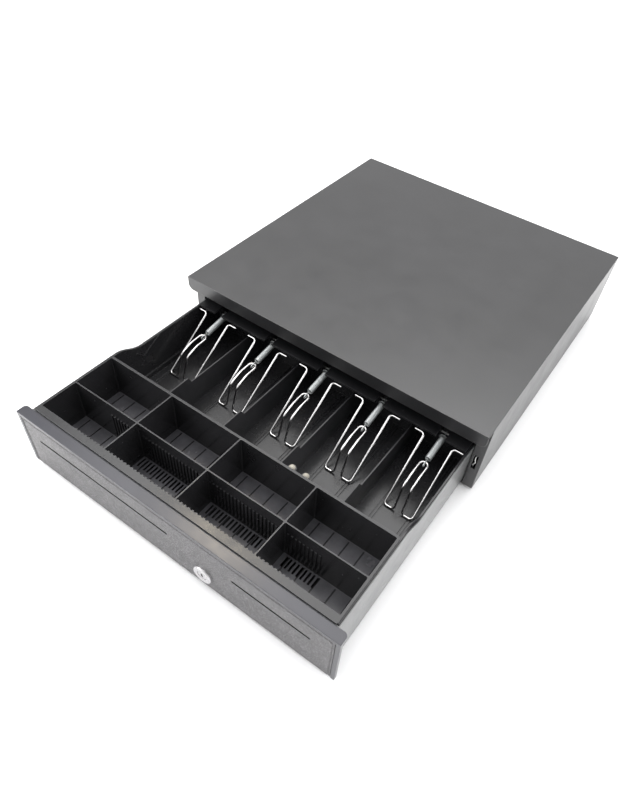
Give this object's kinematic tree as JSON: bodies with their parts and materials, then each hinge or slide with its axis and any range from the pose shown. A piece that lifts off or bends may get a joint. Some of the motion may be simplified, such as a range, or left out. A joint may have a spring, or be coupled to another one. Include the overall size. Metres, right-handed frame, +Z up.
{
  "type": "cash drawer",
  "caption": "Flat steel cash drawer, pulled open: bill bays with sprung wire clips, a coin tray, a key lock and slots in the front, on ball slides with a spring latch.",
  "frame": {"origin": "on the table, below the middle of the open part's bounding box", "axes": "+X to the right seen from the front, +Y from the drawer front to the rear of the case, +Z up"},
  "size_m": [0.41, 0.672, 0.106],
  "materials": {
    "case_paint": "satin powder coat, mid grey",
    "dark_steel": "dark coated sheet steel",
    "rubber": "matt black",
    "zinc_steel": "zinc plated",
    "drawer_steel": "light grey coated sheet steel",
    "ledge_paint": "satin, bluish grey",
    "front_texture": "fine grain, grey",
    "lock_chrome": "polished",
    "till_plastic": "black, fine texture",
    "rivet_plastic": "ivory",
    "clip_chrome": "bright plated wire",
    "spring_steel": "close-wound, bright",
    "coil_wrap": "brown tape over a copper winding",
    "nylon": "off-white nylon",
    "black_plastic": "black",
    "button_plastic": "red"
  },
  "bodies": {
    "case": {"top_cover": "case_paint", "base_plate": "dark_steel", "rear_panel": "dark_steel", "rubber_feet": "rubber", "cover_screws": "zinc_steel", "front_screws": "zinc_steel", "rear_screws": "zinc_steel", "left_outer_rail": "zinc_steel", "right_outer_rail": "zinc_steel", "front_glides": "nylon", "latch_plate": "zinc_steel", "solenoid_frame": "zinc_steel", "solenoid_coil": "coil_wrap", "hook_pin": "zinc_steel", "kick_spring": "spring_steel", "switch_body": "black_plastic", "line_jack": "black_plastic"},
    "drawer": {"left_inner_rail": "zinc_steel", "right_inner_rail": "zinc_steel", "left_ball_cage": "zinc_steel", "right_ball_cage": "zinc_steel", "slide_balls": "zinc_steel", "drawer_pan": "drawer_steel", "front_frame": "ledge_paint", "front_panel": "front_texture", "lock_body": "lock_chrome", "lock_nut": "zinc_steel", "till_tray": "till_plastic", "coin_tray": "till_plastic", "hinge_bar": "till_plastic", "anchor_pins": "spring_steel", "tray_rivets": "rivet_plastic", "divider_1": "till_plastic", "divider_2": "till_plastic", "divider_3": "till_plastic", "divider_4": "till_plastic", "strike_plate": "zinc_steel"},
    "lock_core": {"lock_barrel": "lock_chrome"},
    "hook": {"latch_hook": "zinc_steel"},
    "plunger": {"solenoid_plunger": "zinc_steel"},
    "button": {"switch_button": "button_plastic"},
    "clip_1": {"clip_wire_1": "clip_chrome"},
    "spring_1": {"clip_spring_1": "spring_steel"},
    "clip_2": {"clip_wire_2": "clip_chrome"},
    "spring_2": {"clip_spring_2": "spring_steel"},
    "clip_3": {"clip_wire_3": "clip_chrome"},
    "spring_3": {"clip_spring_3": "spring_steel"},
    "clip_4": {"clip_wire_4": "clip_chrome"},
    "spring_4": {"clip_spring_4": "spring_steel"},
    "clip_5": {"clip_wire_5": "clip_chrome"},
    "spring_5": {"clip_spring_5": "spring_steel"}
  },
  "joints": [
    {"name": "drawer_slide", "type": "slide", "parent": "case", "child": "drawer", "axis": [0, -1, 0], "range_m": [-0.254, 0], "deforming": ["kick_spring"]},
    {"name": "lock_turn", "type": "hinge", "parent": "drawer", "child": "lock_core", "pos_m": [0.048, -0.333, 0.026], "axis": [0, 1, 0], "range_deg": [0, 90]},
    {"name": "hook_turn", "type": "hinge", "parent": "case", "child": "hook", "pos_m": [0, 0.295, 0.017], "axis": [0, 0, -1], "range_deg": [0, 15]},
    {"name": "plunger_slide", "type": "slide", "parent": "case", "child": "plunger", "axis": [1, 0, 0], "range_m": [0, 0.0044]},
    {"name": "button_press", "type": "slide", "parent": "case", "child": "button", "axis": [0, 1, 0], "range_m": [0, 0.0015], "stiffness_N_per_m": 300},
    {"name": "clip_1_hinge", "type": "hinge", "parent": "drawer", "child": "clip_1", "pos_m": [-0.157, -0.0817, 0.0671], "axis": [-1, 0, 0], "range_deg": [0, 80]},
    {"name": "spring_1_hinge", "type": "hinge", "parent": "drawer", "child": "spring_1", "pos_m": [-0.157, -0.0627, 0.0625], "axis": [-1, 0, 0], "range_deg": [0, 47]},
    {"name": "clip_2_hinge", "type": "hinge", "parent": "drawer", "child": "clip_2", "pos_m": [-0.0785, -0.0817, 0.0671], "axis": [-1, 0, 0], "range_deg": [0, 80]},
    {"name": "spring_2_hinge", "type": "hinge", "parent": "drawer", "child": "spring_2", "pos_m": [-0.0785, -0.0627, 0.0625], "axis": [-1, 0, 0], "range_deg": [0, 47]},
    {"name": "clip_3_hinge", "type": "hinge", "parent": "drawer", "child": "clip_3", "pos_m": [0, -0.0817, 0.0671], "axis": [-1, 0, 0], "range_deg": [0, 80]},
    {"name": "spring_3_hinge", "type": "hinge", "parent": "drawer", "child": "spring_3", "pos_m": [0, -0.0627, 0.0625], "axis": [-1, 0, 0], "range_deg": [0, 47]},
    {"name": "clip_4_hinge", "type": "hinge", "parent": "drawer", "child": "clip_4", "pos_m": [0.0785, -0.0817, 0.0671], "axis": [-1, 0, 0], "range_deg": [0, 80]},
    {"name": "spring_4_hinge", "type": "hinge", "parent": "drawer", "child": "spring_4", "pos_m": [0.0785, -0.0627, 0.0625], "axis": [-1, 0, 0], "range_deg": [0, 47]},
    {"name": "clip_5_hinge", "type": "hinge", "parent": "drawer", "child": "clip_5", "pos_m": [0.157, -0.0817, 0.0671], "axis": [-1, 0, 0], "range_deg": [0, 80]},
    {"name": "spring_5_hinge", "type": "hinge", "parent": "drawer", "child": "spring_5", "pos_m": [0.157, -0.0627, 0.0625], "axis": [-1, 0, 0], "range_deg": [0, 47]}
  ],
  "couplings": [
    {"joint": "plunger_slide", "follows": "hook_turn", "m_per_rad": 0.016375},
    {"joint": "spring_1_hinge", "follows": "clip_1_hinge", "ratio": 0.586},
    {"joint": "spring_2_hinge", "follows": "clip_2_hinge", "ratio": 0.586},
    {"joint": "spring_3_hinge", "follows": "clip_3_hinge", "ratio": 0.586},
    {"joint": "spring_4_hinge", "follows": "clip_4_hinge", "ratio": 0.586},
    {"joint": "spring_5_hinge", "follows": "clip_5_hinge", "ratio": 0.586}
  ]
}
